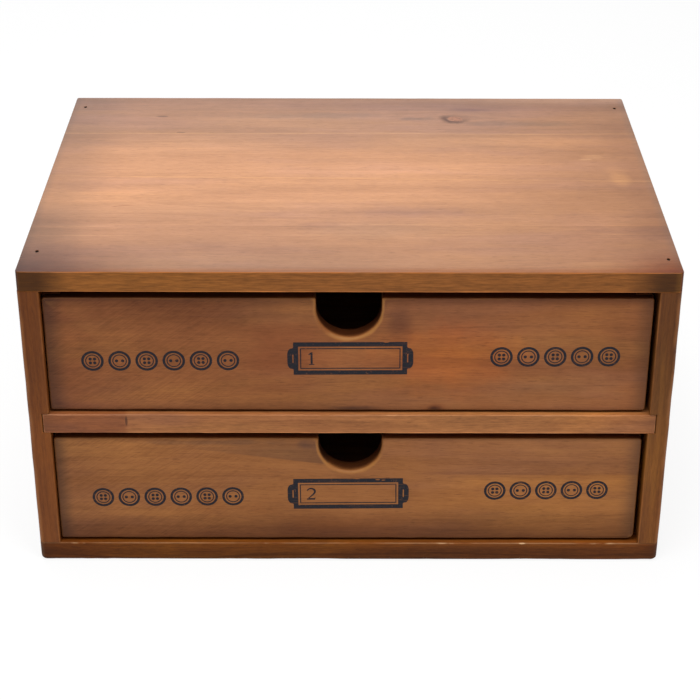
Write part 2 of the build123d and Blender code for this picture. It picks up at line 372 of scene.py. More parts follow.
# Outlines. Straight runs along the axes are joined by quarter circles: a point of one is
# centre + radius * (n1 cos a + n2 sin a), where n1 and n2 are the outward normals of the two
# runs, with minus at an inner corner. Each point also keeps its corner's number and place, a
# bend that is 1 halfway round an outer corner, and the signs of that corner's two directions.
def traceOutline(corners, radii, extra=None, runStep=None):
    corners = np.array(corners, float)
    count = len(corners)
    points, normals, bends, ids, reaches = [], [], [], [], []
    for k in range(count):
        before, here, after = corners[k - 1], corners[k], corners[(k + 1) % count]
        inward = (here - before) / np.linalg.norm(here - before)
        onward = (after - here) / np.linalg.norm(after - here)
        outer = np.sign(inward[0] * onward[1] - inward[1] * onward[0])
        radius = radii[k]
        angles = np.linspace(0, math.pi / 2, 7 if radius < 5 else 33)
        first, second = np.array([inward[1], -inward[0]]), np.array([onward[1], -onward[0]])
        normal = np.cos(angles)[:, None] * first + np.sin(angles)[:, None] * second
        centre = here - inward * radius + onward * radius
        points.append(centre + outer * radius * normal)
        normals.append(normal)
        bends.append(np.sin(2 * angles) * (outer > 0) * (radius > 0.25))
        ids.append(np.full(len(angles), k))
        reaches.append(np.tile((first + second) * (outer > 0), (len(angles), 1)))
        start, end = points[-1][-1], after - onward * radii[(k + 1) % count]
        length = np.dot(end - start, onward)
        steps = np.arange(runStep, length - runStep / 2, runStep) if runStep else np.array([])
        if extra and k in extra:  # coordinates where the run needs more points
            axis = int(abs(onward[1]) > 0.5)
            wanted = (np.array(extra[k]) - start[axis]) * np.sign(onward[axis])
            steps = np.unique(np.concatenate([steps, wanted[(wanted > 0.02) & (wanted < length - 0.02)]]))
        points.append(start + steps[:, None] * onward)
        normals.append(np.tile(second, (len(steps), 1)))
        bends.append(np.zeros(len(steps)))
        ids.append(np.full(len(steps), k))
        reaches.append(np.zeros((len(steps), 2)))
    points, ids = np.vstack(points), np.concatenate(ids)
    gaps = np.linalg.norm(np.diff(points, axis=0, prepend=points[-1:]), axis=1)
    return {"points": points, "normals": np.vstack(normals), "bend": np.concatenate(bends),
            "corner": ids, "vertex": corners[ids], "reach": np.vstack(reaches), "run": np.cumsum(gaps)}


def eased(share):  # a smooth step from 0 to 1
    share = np.clip(share, 0, 1)
    return share * share * (3 - 2 * share)


# Smooth noise of one number: random values an even step apart, joined by smooth steps.
def wobble(seed, places, step):
    table = np.random.default_rng(seed).uniform(-1, 1, 997)
    along = np.asarray(places) / step
    whole = np.floor(along).astype(int)
    share = eased(along - whole)
    return table[whole % len(table)] * (1 - share) + table[(whole + 1) % len(table)] * share


# A pit left by a sunk brad: full depth inside an ellipse, fading out over its lip.
pit = {"across": 1.0, "along": 0.62, "lip": 0.32, "depth": 0.86}
pitSteps = np.array([0.3, 0.55, 0.7, 0.85, 1.0, 1.15, 1.35, 2.0])
pitLines = np.concatenate([-pitSteps[::-1], [0], pitSteps])


def pitDepth(across, along):
    far = np.hypot(across / pit["across"], along / pit["along"])
    return pit["depth"] * eased(1 - (far - 1) / pit["lip"])


def bradPlaces(node, axis, side):  # where a node's brads enter a face, on the other two axes
    spots = np.array([vertex.co for vertex in nodes[node].data.vertices]) * 1000
    level = spots[:, axis].max() if side > 0 else spots[:, axis].min()
    heads = np.delete(spots[np.abs(spots[:, axis] - level) < 0.2], axis, 1)
    groups = [heads]
    for column in (0, 1):
        split = []
        for group in groups:
            group = group[np.argsort(group[:, column])]
            split += np.split(group, np.where(np.diff(group[:, column]) > 5)[0] + 1)
        groups = split
    return [group.mean(0) for group in groups]


capInset = 0.8  # a flat ring inside each end, which keeps the shading of the cap even
wearSteps = {"rim": (9.0, 2.3), "rub": (14.0, 3.1)}  # coarse and fine, in mm
cornerShift = (83.0, 61.0)  # so that every corner of a section wears in its own way


# A board is its outline carried from low to high along one axis. At each end it draws in on
# quarter circles: at share s of its radius R from the end, a side is drawn in by
# R (1 - sqrt(s (2 - s))). Each of the four sides has its own R, and all share the rings of
# the largest. On a rounded corner each axis is drawn in by its own side's share, and no point
# stands out past either side, so a corner that is drawn in far is mitred.
def boardSurface(outline, low, high, rims, stations, board):
    points, normals, reach = outline["points"], outline["normals"], outline["reach"]
    squares = normals ** 2
    positive = np.where(reach == 0, normals, reach) > 0
    angles = np.linspace(0, math.pi / 2, 9)[:, None]
    seed, worn = board["seed"], board["worn"]
    nearNotch = np.zeros(len(points))
    if "notch" in board:  # the notch's edge is rounded and rubbed more than the others, and its arris is tinted lighter, partly wear and partly a painted highlight
        away = np.linalg.norm(points - board["notch"], axis=1)
        nearNotch = eased((board["notchReach"] - away) / board["notchFade"])
    swell = 1 + board.get("notchSwell", 0) * nearNotch
    tint = board.get("rimTint", 1.0) + board.get("notchTint", 0) * nearNotch
    coarse, fine = wearSteps["rim"]
    rimWear = 1 + worn * wobble(seed, outline["run"], coarse)
    rimWear = rimWear + worn * 0.6 * wobble(seed + 1, outline["run"], fine)
    ends = []
    for rim in rims:
        radii = np.where(positive, (rim[1], rim[3]), (rim[0], rim[2])) * (rimWear * swell)[:, None]
        tallest = max(rim) * rimWear * swell
        place = np.vstack([np.zeros_like(tallest), tallest * (1 - np.cos(angles))])
        share = np.minimum(place[1:, :, None] / radii, 1)
        curve = np.sqrt(share * (2 - share))
        inset = np.concatenate([radii[None] + capInset, radii * (1 - curve)])
        lit = np.vstack([np.zeros_like(tallest), (squares * 2 * curve * (1 - share)).sum(-1)])
        ends.append((place, inset, lit * tint))
    inner = np.repeat(np.sort(stations)[:, None], len(points), 1)
    place = np.vstack([low + ends[0][0], inner, (high - ends[1][0])[::-1]])
    insets = np.concatenate([ends[0][1], np.zeros((*inner.shape, 2)), ends[1][1][::-1]])
    arris = np.vstack([ends[0][2], np.zeros(inner.shape), ends[1][2][::-1]])
    coarse, fine = wearSteps["rub"]
    rub = wobble(seed + 2, place + cornerShift[0] * outline["corner"], coarse)
    rub = rub + 0.5 * wobble(seed + 3, place + cornerShift[1] * outline["corner"], fine)
    wear = board["rub"] * outline["bend"] * np.clip(0.35 + rub, 0, 2)
    tints = board.get("tints", {})
    cornerTint = np.array([tints.get(k, 1.0) for k in range(outline["corner"].max() + 1)])
    arris = np.maximum(arris, (outline["bend"] * cornerTint[outline["corner"]])[None])
    for corner, where, width, depth in board.get("chips", ()):
        hit = np.exp(-((place - where) / width) ** 2) * (outline["corner"] == corner) * outline["bend"]
        wear, arris = wear + depth * hit, arris + 2.2 * hit
    flat = points - normals * (insets + wear[..., None])
    limit = np.where(reach == 0, 1e9, outline["vertex"] * reach - insets)
    flat = np.where(reach == 0, flat, np.minimum(flat * reach, limit) * reach)
    for side, at, start in board.get("rebates", ()):  # beyond start, nothing passes at
        cut = np.minimum(flat[..., 0] * side, at * side) * side
        flat[..., 0] = np.where(place > start + 0.0005, cut, flat[..., 0])
    for axis, side, spots in board.get("pits", ()):
        facing = normals[:, axis] * side > 0.99
        for across, along in spots:
            depth = pitDepth(flat[..., 1 - axis] - across, place - along) * facing
            flat[..., axis] -= side * depth
            arris = np.where(depth > 0.05, -depth / pit["depth"], arris)
    return flat, place, arris


def makeMesh(name, points, faces, attributes=None, sharp=35.0):
    mesh = bpy.data.meshes.new(name)
    mesh.from_pydata(points.tolist(), [], faces)
    mesh.transform(Matrix.Scale(0.001, 4))
    for key, values in (attributes or {}).items():
        layer = mesh.attributes.new(key, "FLOAT", "POINT")
        layer.data.foreach_set("value", np.ravel(values).astype(np.float32))
    shape = bmesh.new()
    shape.from_mesh(mesh)
    bmesh.ops.remove_doubles(shape, verts=shape.verts, dist=1e-6)
    shape.to_mesh(mesh)
    shape.free()
    mesh.shade_smooth()
    mesh.set_sharp_from_angle(angle=math.radians(sharp))
    made = addObject(name, mesh)
    even = made.modifiers.new("evenShading", "WEIGHTED_NORMAL")  # flat faces keep their own normal
    even.keep_sharp = True
    return made


def buildBoard(name, outline, axis, low, high, rims, stations, board, material, body):
    flat, place, arris = boardSurface(outline, low, high, rims, stations, board)
    rows, count = place.shape
    spots = np.insert(flat, axis, place, axis=2).reshape(-1, 3)
    index = np.arange(rows * count).reshape(rows, count)
    onward = np.roll(index, -1, axis=1)
    quads = np.stack([index[:-1], onward[:-1], onward[1:], index[1:]], -1).reshape(-1, 4)
    faces = quads.tolist() + [index[0][::-1].tolist(), index[-1].tolist()]
    if axis == 1:  # x, z and y make a left-handed set
        faces = [face[::-1] for face in faces]
    made = makeMesh(name, spots, faces, {"arris": arris})
    made.data.materials.append(material)
    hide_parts(name.removesuffix("_board"))
    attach(made, body)
    return made


slack = 0.1  # the radius of an edge that butts against another board


def evenly(low, high, step, *more):  # stations an even step apart, with more where asked
    places = np.linspace(low, high, max(int((high - low) / step), 2) + 1)[1:-1]
    places = np.concatenate([places, *[np.ravel(one) for one in more]])
    return np.unique(np.round(places[(places > low + 0.01) & (places < high - 0.01)], 4))


def chipLines(board):  # stations close enough to shape the chips
    chips = board.get("chips", ())
    return [where + width * np.linspace(-2, 2, 9) for corner, where, width, depth in chips]


# Top and base: section in y and z, carried along x. A chip is its corner in the section, its
# place along the board, its width and its depth.
topBoard = {"seed": 11, "worn": 0.12, "rub": 0.1, "corner": 2.4, "outer": 0.5, "inner": 0.4,
            "rimTint": 0.05, "tints": {1: 0.3, 2: 0.5}}
baseBoard = {"seed": 23, "worn": 0.16, "rub": 0.16, "corner": 2.4, "outer": 1.4, "inner": 0.6,
             "foot": 3.0, "rimTint": 0.05, "tints": {0: 0.05, 1: 0.05, 3: 0.22},
             "chips": ((3, -132.8, 1.3, 0.5), (3, -128.5, 0.7, 0.3), (3, 45.1, 1.9, 0.4),
                       (3, 49.8, 1.0, 0.5), (3, 117.8, 1.5, 0.5), (3, 124.4, 2.4, 0.45),
                       (3, -40.0, 0.9, 0.25), (3, 84.0, 1.0, 0.3))}


def longSection(low, high):  # the corners of a board's section in y and z
    return [(low[1], low[2]), (high[1], low[2]), (high[1], high[2]), (low[1], high[2])]


def cappingBoard(node, board, material, bradNode, up):
    low, high = boxOf(node)
    places = bradPlaces(bradNode, 2, up)
    radii = [board["inner"], slack, board["outer"], board["outer"]]
    rim = (board["corner"], board["corner"], slack, board["outer"])
    if up < 0:
        radii = [board["outer"], board["outer"], slack, board["inner"]]
        rim = (board["corner"], board["corner"], board["foot"], slack)
    face = 2 if up > 0 else 0
    lines = np.ravel([y + pitLines for x, y in places])
    outline = traceOutline(longSection(low, high), radii, {face: lines})
    ends = low[0] + board["corner"] * 1.3, high[0] - board["corner"] * 1.3
    stations = evenly(*ends, 4.0, [x + pitLines for x, y in places], chipLines(board))
    pits = [(1, up, [(y, x) for x, y in places])]
    buildBoard(node + "_board", outline, 0, low[0], high[0], (rim, rim), stations,
               {**board, "pits": pits}, material, "cabinet")


# Marks that belong to one board: soft washes multiply the colour, so the grain stays, and a
# knot also bends the grain round itself.
def washed(graph, colour, ratio, share):
    return graph.vector("MULTIPLY", colour, graph.blend((1.0, 1.0, 1.0), ratio, share))


def ellipse(graph, spot, axes, middle, halves, ragged=0.25, scale=0.09):  # 1 on its edge
    parts = graph.parts(spot)
    first, second = ((parts[axis] - centre) / half for axis, centre, half in zip(axes, middle, halves))
    rough = graph.noise(spot, (scale, scale, scale), 3.0) - 0.5
    return (first * first + second * second) ** 0.5 + rough * (ragged * 2)


def patch(axes, middle, halves, ratio, ragged=0.4, soft=0.9):  # over an ellipse
    def paint(graph, spot, place, colour):
        far = ellipse(graph, spot, axes, middle, halves, ragged)
        return washed(graph, colour, ratio, 1 - far.fade(1 - soft, 1))
    return {"paint": paint}


def patches(axes, *rows):  # a row: middle, halves, ratio, and ragged and soft where unusual
    return [patch(axes, row[:2], row[2:4], row[4:7], *row[7:]) for row in rows]


def knot(axes, middle, size, heart, rim):  # darkest on its rim, on the side of the low coordinates
    def bend(graph, spot, bent):
        far = ellipse(graph, spot, axes, middle, (size * 3.4, size * 1.7), 0.1)
        along, across, through = graph.parts(bent)
        side = (graph.parts(spot)[axes[1]] - middle[1]) / size
        push = (1 - far.fade(0, 1.5)) * side.maths("SIGN", side) * size
        return graph.joined(along, across - push, through)

    def paint(graph, spot, place, colour):
        parts = graph.parts(spot)
        lean = ((parts[axes[0]] - middle[0]) * 0.8 + (parts[axes[1]] - middle[1])) / size
        strength = 1 - lean.fade(-1.1, 1.2) * 0.8
        far = ellipse(graph, spot, axes, middle, (size, size * 0.82), 0.35, 0.22)
        ring = far.fade(0.5, 0.8) * (1 - far.fade(0.9, 1.5)) * strength
        colour = washed(graph, colour, heart, 1 - far.fade(0.45, 0.8))
        colour = washed(graph, colour, rim, ring)
        speck = graph.noise(spot, (0.5, 0.5, 0.5), 2.0).fade(0.52, 0.66) * (1 - far.fade(0.5, 1.0))
        return washed(graph, colour, rim, speck * 0.5)
    return {"bend": bend, "paint": paint}


def seam(at, slope, width, ratio, fading=0.55):  # a thin line near y = at + slope x
    def paint(graph, spot, place, colour):
        x, y, z = graph.parts(spot)
        wander = (graph.noise(spot, (0.01, 0.01, 0.01)) - 0.5) * 3
        away = abs(y - at - x * slope + wander)
        broken = graph.noise(spot, (0.02, 0.3, 0.3), 2.0).fade(fading - 0.25, fading + 0.1)
        return washed(graph, colour, ratio, (1 - away.fade(0, width)) * broken)
    return {"paint": paint}


def zone(axis, start, end, ratio, within=None, rough=6.0):  # past a soft border, from start to end
    def paint(graph, spot, place, colour):
        parts = graph.parts(spot)
        wander = (graph.noise(spot, (0.015, 0.015, 0.015)) - 0.5) * rough
        share = (parts[axis] + wander).fade(start, end)
        if within:
            share = share * parts[within[0]].fade(*within[1:])
        return washed(graph, colour, ratio, share)
    return {"paint": paint}


def edgeFace(axis, start, end, tint):  # the narrow face past an arris, with dark dashes
    def paint(graph, spot, place, colour):
        dashes = graph.noise(place, (0.13, 1.5, 1.5), 3.0, 0.65)
        lines = graph.noise(place, (0.012, 0.6, 0.6), 3.0, 0.6)
        shade = dashes * 1.7 + lines * 0.8 - 0.25
        share = graph.parts(spot)[axis].fade(start, end)
        return graph.blend(colour, graph.shaded(tint, shade.atLeast(0.2)), share)
    return {"paint": paint}


boardFront = (1, -108.5, -108.85)  # along y, from the top's front arris to its front face
# The broad zones and patches that darken the top toward its back, front, ends and front corners, and the
# top's edge darkening in topWood, are partly stain and partly painted shade where the lamp's sheen falls
# off from its pool on the centre left.
topMarks = (
    zone(1, 40, 66, (0.86, 0.88, 0.96)),
    zone(1, 70, 100, (0.85, 0.85, 0.9)),
    zone(1, 88, 92, (0.92, 0.92, 0.96), rough=3),
    zone(0, 20, 150, (0.7, 0.69, 0.69), rough=30),
    zone(1, -38, -62, (0.93, 0.92, 0.95), within=(0, 60, -40)),
    zone(1, -55, -105, (0.87, 0.86, 0.86), rough=12),
    *patches((0, 1),
        (-152, -112, 76, 46, 0.24, 0.09, 0.02, 0.06, 1),
        (152, -112, 44, 34, 0.56, 0.26, 0.06, 0.06, 1)),
    zone(0, -112, -146, (0.74, 0.74, 0.76), rough=4),
    patch((0, 1), (-150, -66), (36, 26), (0.68, 0.67, 0.67), 0.1, 1),
    zone(0, 124, 146, (0.88, 0.86, 0.88), within=(1, 84, 60)),
    patch((0, 1), (150, -60), (34, 28), (0.74, 0.71, 0.73), 0.1, 1),
    zone(0, -145, -149.8, (0.8, 0.82, 0.88), rough=1),
    zone(0, 145, 149.8, (0.86, 0.95, 1.1), rough=1),
    *patches((0, 1),
        (-60, -109, 130, 40, 0.88, 0.92, 0.96, 0.2, 0.95),
        (-150, 109, 44, 20, 0.95, 0.97, 1, 0.2, 0.95),
        (150, 110, 130, 17, 1.5, 1.75, 2, 0.06, 1)),
    zone(1, 25, 45, (0.84, 0.86, 0.91), within=(0, 120, 60)),
    zone(1, -22, -48, (0.86, 0.87, 0.9), within=(0, 120, 80)),
    *patches((0, 1),
        (12, -64, 56, 15, 0.88, 0.92, 1, 0.3, 0.95),
        (0, 3, 170, 15, 1.07, 1.08, 1.09, 0.2)),
    zone(1, -103, -107.8, (0.9, 0.7, 0.46), rough=1),
    knot((0, 1), (56.5, 78.2), 6.4, (1.02, 0.88, 0.8), (0.3, 0.22, 0.18)),
    *patches((0, 1),
        (36, 78, 16, 3.6, 0.66, 0.7, 0.76, 0.5),
        (88, 71, 48, 5.5, 0.8, 0.85, 0.92, 0.5),
        (66, 91.5, 17, 4, 0.72, 0.68, 0.8, 0.5),
        (-18, 82, 70, 7, 0.8, 0.85, 0.9, 0.5),
        (30, -42, 44, 9, 0.86, 0.86, 0.96, 0.5),
        (112, -54, 34, 13, 0.88, 0.88, 0.98, 0.5)),
    seam(56.4, 0, 1.1, (1.28, 1.34, 1.25), 0.35),
    seam(-3.2, -0.02, 1.5, (1.16, 1.2, 1.14), 0.4),
    seam(-58, 0.02, 0.9, (1.14, 1.18, 1.14)),
    seam(-69.5, 0.01, 0.8, (1.2, 1.25, 1.2)),
    seam(90.5, 0, 0.8, (0.86, 0.85, 0.86), 0.4),
    *patches((0, 1),
        (134.8, -3.5, 7.5, 12, 1.26, 1.3, 1.18, 0.3, 0.7),
        (133, 9, 9, 7, 1.16, 1.18, 1.12, 0.35, 0.8),
        (124.4, 25.5, 7, 4.5, 1.22, 1.3, 1.32, 0.4, 0.7),
        (120.5, 22, 4.5, 1.8, 1.24, 1.34, 1.36, 0.5, 0.7),
        (-108.3, -36, 6.5, 1, 0.74, 0.64, 0.58, 0.8, 0.7),
        (-113, -37.6, 3, 0.9, 0.7, 0.6, 0.55, 0.8, 0.7),
        (-100.7, 81.1, 3.6, 1, 0.5, 0.46, 0.46, 0.5, 0.5),
        (-89, 58, 3.2, 0.9, 0.62, 0.58, 0.55, 0.5, 0.5),
        (-14, -58, 15, 5, 0.9, 0.88, 0.92, 0.6)),
    edgeFace(*boardFront, (0.285, 0.100, 0.021)),
    zone(0, -20, -80, (1.12, 1.14, 0.98), boardFront, 20),
    zone(0, -122, -142, (0.16, 0.15, 0.02), boardFront, 3),
    zone(0, 122, 142, (0.17, 0.17, 0.1), boardFront, 3),
    zone(0, 145.5, 148, (2.2, 2.5, 3), boardFront, 1),
    # painted highlight along the lower arris of the top's front face
    zone(2, 146.7, 146.4, (2.3, 2.2, 2.6), (1, -108.3, -108.6), 0.3),
)
topWood = woodMaterial(
    "topWood", light=(0.520, 0.245, 0.114), dark=(0.312, 0.131, 0.053), mauve=(0.375, 0.176, 0.114),
    amber=(0.520, 0.238, 0.097), seed=(40, 210, 7), wave=5.0, bands=0.5, fibre=0.62, rings=0.14,
    mottle=0.45, pith=(4, 90), shine=0.12,
    marks=topMarks, rough=(0.38, 0.46), bump=0.1, drift=0.35, staves=(-59.0, 57.6),
    edge=((1, 0, 109, 3, 0.3),), edgeTint=(0.13, 0.045, 0.016),
    arris=(0.34, 0.10, 0.014), arrisShow=0.9)
baseMarks = (
    zone(2, 6, 10, (1.5, 1.5, 1.3), rough=2),
    zone(0, 20, 120, (1.18, 1.12, 1), rough=20),
    patch((0, 2), (-150, 5), (40, 20), (0.85, 0.8, 0.8), 0.3),
)
baseWood = woodMaterial(
    "baseWood", light=(0.155, 0.044, 0.006), dark=(0.06, 0.015, 0.002), mauve=(0.075, 0.024, 0.007),
    amber=(0.16, 0.052, 0.006), seed=(300, 15, 90), pith=(-30, -60), shine=0.10, rings=0.4,
    marks=baseMarks, edge=((0, 0, 150, 14, 0.5),), edgeTint=(0.05, 0.015, 0.005),
    arris=(0.60, 0.40, 0.22), arrisShow=0.95)
cappingBoard("top_panel", topBoard, topWood, "top_brads", 1)
cappingBoard("base_panel", baseBoard, baseWood, "base_brads", -1)
print("top and base boards built")

# Shelf: section in y and z, carried along x into the side boards' housings.
shelfBoard = {"seed": 37, "worn": 0.2, "rub": 0.16, "front": 0.5, "tints": {3: 0.4},
              "chips": ((0, -72.3, 2.4, 0.55), (3, 20.0, 2.0, 0.3), (3, -12.0, 1.4, 0.25))}
shelfLow, shelfHigh = boxOf("shelf")
shelfMarks = (
    zone(0, -102.5, -105.5, (0.8, 0.7, 0.68), rough=2),
    patch((0, 2), (-104.2, 78.5), (0.8, 3.4), (0.42, 0.4, 0.45), 0.3, 0.5),
    zone(0, 20, 130, (1.14, 1.14, 1.12), rough=20),
    patch((0, 2), (118, 77), (30, 20), (1.18, 1.2, 1.08), 0.2),
    # painted highlight along the lower arris of the shelf's front face
    zone(2, 72.9, 72.4, (1.7, 1.65, 1.7), (1, -108.2, -108.6), 0.4),
)


def addShelf():
    low, high, front = shelfLow, shelfHigh, shelfBoard["front"]
    outline = traceOutline(longSection(low, high), [front, slack, slack, front])
    rim = (front, slack, slack, slack)
    wood = woodMaterial(
        "shelfWood", light=(0.41, 0.152, 0.049), dark=(0.22, 0.072, 0.02), seed=(75, 30, 222),
        amber=(0.39, 0.155, 0.045), arris=(0.50, 0.22, 0.085), arrisShow=0.8, bands=0.7, pith=(-40, 40),
        edge=((0, 0, 143, 16, 0.35),), marks=shelfMarks)
    buildBoard("shelf_board", outline, 0, low[0], high[0], (rim, rim),
               evenly(low[0] + 1, high[0] - 1, 3.0, chipLines(shelfBoard)), shelfBoard, wood, "cabinet")


addShelf()

# Sides: section in x and z with the shelf's housing, carried along y, less the back's rebate.
sideBoard = {"worn": 0.2, "rub": 0.2, "outer": 2.3, "inner": 0.8, "housingSlack": 0.3, "endGap": 0.3,
              "mouth": 0.3, "step": 8.0, "rebateSlack": 0.2}
panelLow, panelHigh = boxOf("back_panel")


def addSide(node, hand, seed):
    low, high = boxOf(node)
    outer, inner = (low[0], high[0]) if hand < 0 else (high[0], low[0])
    shelfEnd = (shelfLow[0] if hand < 0 else shelfHigh[0]) + hand * sideBoard["endGap"]
    floor, roof = shelfLow[2], shelfHigh[2] + sideBoard["housingSlack"]
    corners = [(outer, low[2]), (inner, low[2]), (inner, floor), (shelfEnd, floor), (shelfEnd, roof),
               (inner, roof), (inner, high[2]), (outer, high[2])]
    radii = [slack, slack, sideBoard["mouth"], slack, slack, sideBoard["mouth"], slack, slack]
    places = bradPlaces("shelf_brads", 0, hand)
    lines = np.ravel([z + pitLines for y, z in places])
    sides = sideBoard["outer"], sideBoard["inner"]
    if hand > 0:
        corners, radii, sides = corners[::-1], radii[::-1], sides[::-1]
    outerRun = len(corners) - 1  # either way round, the last run is the outer face
    outline = traceOutline(corners, radii, {outerRun: lines}, sideBoard["step"])
    rim = (*sides, slack, slack)
    shoulder = panelLow[1]
    stations = evenly(low[1] + 3, high[1] - 3, 6.0, [y + pitLines for y, z in places],
                      [shoulder, shoulder + 0.001])
    rebate = (panelLow[0] if hand < 0 else panelHigh[0]) + hand * sideBoard["rebateSlack"]
    board = {**sideBoard, "seed": seed, "rebates": ((-hand, rebate, shoulder),),
             "pits": ((0, hand, [(z, y) for y, z in places]),)}
    marks = [zone(2, 60, 120, (0.70, 0.68, 0.70)),
             zone(0, hand * 144.5, hand * 148.5, (0.84, 0.8, 0.8), rough=1.0)]
    if hand > 0:  # the right side is greyer, and darker above the shelf
        marks += [zone(0, 136, 139, (1.03, 1.18, 1.2)), zone(2, 50, 90, (0.69, 0.69, 0.96))]
    wood = woodMaterial(
        node + "Wood", grain="z", marks=marks, seed=(seed * 7, seed * 3, 15), pith=(hand * 60, 20),
        light=(0.38, 0.112, 0.014), dark=(0.16, 0.037, 0.003), mauve=(0.19, 0.056, 0.013),
        amber=(0.36, 0.125, 0.014), shine=0.16, bands=0.7, fibre=0.8,
        arris=(0.38, 0.14, 0.035), arrisShow=0.5, edge=((1, 0, 109, 10, 0.35),),
        edgeTint=(0.06, 0.02, 0.007))
    buildBoard(node + "_board", outline, 1, low[1], high[1], (rim, rim), stations, board, wood, "cabinet")


addSide("left_side_panel", -1, 41)
addSide("right_side_panel", 1, 53)
print("shelf and side boards built")

# Drawer fronts: section in x and z with the finger notch, carried along y, rebated for the
# drawer's sides.
frontBoard = {"worn": 0.2, "rub": 0.2, "corner": 1.2, "rim": 0.85, "back": 0.2, "notchRadius": 15.0,
              "notchReach": 19.0, "notchFade": 3.0, "notchSwell": 0.9, "notchTint": 3.0,
              "shoulder": 1.0, "lap": 4.0, "step": 2.0, "layers": 1.5}
drawerFronts = {
    "upper_drawer": {"notchX": -0.3, "notchZ": 136.4, "seed": 61, "footCorner": 1.6},
    "lower_drawer": {"notchX": 0.4, "notchZ": 64.4, "seed": 73, "footCorner": 3.0},
}
scratchLook = {"angle": math.radians(33), "reach": (-75.0, -30.0)}


def scratches(share):  # fine sanding marks that rise to the right, on the left third
    def tone(graph, spot, figure):
        x, y, z = graph.parts(spot)
        cos, sin = math.cos(scratchLook["angle"]), math.sin(scratchLook["angle"])
        turned = graph.joined(x * cos + z * sin, z * cos - x * sin, y)
        fine = graph.noise(turned, (0.11, 1.7, 0.2), 3.0, 0.6) - 0.5
        where = 1 - x.fade(*scratchLook["reach"])
        return figure + fine * where * share
    return {"tone": tone}


def notchShade(drawer):  # inside the notch, painted shade, darkest toward the back
    middle = drawerFronts[drawer]["notchX"], drawerFronts[drawer]["notchZ"]

    def paint(graph, spot, place, colour):
        x, y, z = graph.parts(spot)
        far = ((x - middle[0]) ** 2.0 + (z - middle[1]) ** 2.0) ** 0.5
        inside = y.fade(-105.8, -102.0) * (1 - far.fade(16.5, 18.0))
        # painted shade: the notch wall darkens with depth, as if shadowed by the board above
        return washed(graph, colour, (0.36, 0.3, 0.28), inside)
    return {"paint": paint}


upperMarks = (
    scratches(0.8),
    zone(0, -95, -139, (0.8, 0.74, 0.76), rough=14),
    # bluish painted shade at both ends, beside the side boards
    zone(0, -128, -137, (0.55, 0.58, 0.68), rough=2),
    zone(0, 128, 137, (0.66, 0.68, 0.74), rough=2),
    zone(2, 91, 85, (0.76, 0.72, 0.76), (0, 50, -40), 2),
    *patches((0, 2),
        (98, 98, 42, 8, 1.14, 1.22, 1.2, 0.3),
        (-80, 134, 74, 18, 0.72, 0.67, 0.65),
        (0.4, 110.9, 25, 7.2, 1.17, 1.18, 1.2, 0, 0.2),
        (-70, 92, 60, 9, 1.1, 1.12, 1.12),
        (46, 112, 44, 26, 1.36, 1.1, 0.82),
        (-30, 114, 30, 24, 0.92, 0.83, 0.85),
        (98, 126, 42, 16, 1.1, 1.14, 1.06),
        (23, 128, 10, 11, 0.66, 0.64, 0.8, 0.5, 0.95),
        (88, 91, 64, 12, 1.05, 1.14, 1.22),
        (39.1, 84.6, 9, 4.2, 0.8, 0.68, 0.68, 0.5),
        (39.1, 84.2, 5.2, 2.6, 0.26, 0.2, 0.22, 0.5),
        (0, 84.3, 15, 1.9, 0.42, 0.42, 0.56, 0.5, 0.95)),
    # painted shadow along the top of the upper front, under the top board's overhang
    zone(2, 136.5, 141, (0.72, 0.68, 0.66), rough=2),
    # painted shade on the front's edge faces behind its face, as in the gaps round the drawer
    zone(1, -105.7, -103.4, (0.56, 0.52, 0.5), rough=1),
    notchShade("upper_drawer"),
)


def wedge(graph, spot, place, colour):  # a darker tongue of grain that widens toward the notch
    x, y, z = graph.parts(spot)
    share = (z + x * 0.135).fade(51.6, 52.4) * x.fade(-100.0, -20.0)
    share = share * (1 - x.fade(-2.0, 2.0)) * (1 - (z + x * 0.02).fade(60.0, 67.0) * 0.5)
    return washed(graph, colour, (0.66, 0.70, 0.88), share)


lowerMarks = (
    scratches(0.8),
    # bluish painted shade at both ends, beside the side boards
    zone(0, -131, -138, (0.6, 0.64, 0.76), rough=2),
    zone(0, 128, 137, (0.62, 0.66, 0.8), rough=2),
    zone(2, 63.5, 66.5, (1.14, 1.15, 1.14), rough=1),
    {"paint": wedge},
    *patches((0, 2),
        (-20.5, 64.5, 7, 4, 0.6, 0.62, 0.86, 0.6, 0.8),
        (-66, 65.5, 50, 1.8, 0.72, 0.76, 0.95, 0.5, 0.8)),
    zone(2, 47.2, 48.4, (0.84, 0.84, 1), (0, 22, 46), 1.2),
    patch((0, 2), (80, 43.5), (62, 5), (1.16, 1.18, 0.98), 0.3),
    zone(2, 38, 22, (0.78, 0.77, 0.82), (0, 20, 60), 6),
    zone(0, 20, 60, (1.24, 1.26, 1.1), rough=14),
    zone(0, -105, -139, (0.86, 0.86, 0.92), rough=14),
    # painted shade on the front's edge faces behind its face, as in the gaps round the drawer
    zone(1, -105.7, -103.4, (0.56, 0.52, 0.5), rough=1),
    # painted shade: the lower front darkens toward its bottom, where less light falls
    zone(2, 29, 12, (0.56, 0.49, 0.43), rough=9),
    notchShade("lower_drawer"),
    *patches((0, 2),
        (0, 18, 44, 10, 0.94, 0.88, 0.8),
        (-60, 29, 40, 7, 0.9, 0.84, 0.8, 0.5)),
)
frontLooks = {
    "upper_drawer": dict(seed=(150, 12, 33), marks=upperMarks, light=(0.335, 0.116, 0.036),
                         dark=(0.17, 0.053, 0.014)),
    "lower_drawer": dict(seed=(510, 42, 133), marks=lowerMarks, light=(0.37, 0.142, 0.042),
                         dark=(0.185, 0.060, 0.014)),
}


